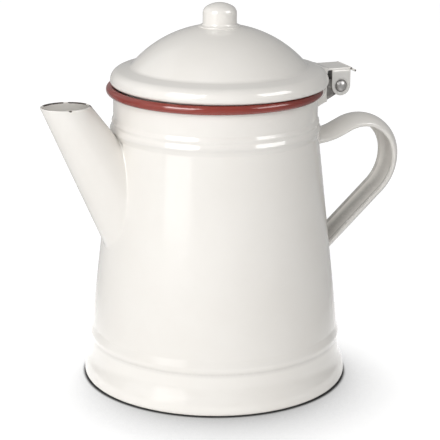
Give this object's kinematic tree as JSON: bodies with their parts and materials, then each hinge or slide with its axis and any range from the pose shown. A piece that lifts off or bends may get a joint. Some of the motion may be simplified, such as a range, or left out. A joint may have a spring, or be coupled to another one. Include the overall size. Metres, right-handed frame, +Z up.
{
  "type": "enamel coffee pot",
  "caption": "Conical enamelled steel coffee pot with a straight slanted spout, a strap handle, a rolled red rim and a domed lid with a knob, hinged at the handle side.",
  "frame": {"origin": "centre of the foot's rolled hem, on the surface the pot stands on", "axes": "+Z up along the pot's axis, spout along -X, handle and hinge along +X, +Y across"},
  "size_m": [0.1989, 0.14, 0.1992],
  "materials": {
    "white_enamel": "gloss vitreous enamel, warm white",
    "red_enamel": "gloss vitreous enamel, brick red",
    "rivet_steel": "worn bare steel"
  },
  "bodies": {
    "pot": {"body_shell": "white_enamel", "rim_bead": "red_enamel", "base_plate": "white_enamel", "spout": "white_enamel", "handle": "white_enamel", "body_hinge_bracket": "white_enamel", "hinge_rivet": "rivet_steel"},
    "lid": {"lid_shell": "white_enamel", "lid_collar": "white_enamel", "lid_knob": "white_enamel", "lid_hinge_leaf": "white_enamel"}
  },
  "joints": [
    {"name": "lid_hinge", "type": "hinge", "parent": "pot", "child": "lid", "pos_m": [0.0678, 0, 0.15294], "axis": [0, 1, 0], "range_deg": [0, 170]}
  ]
}
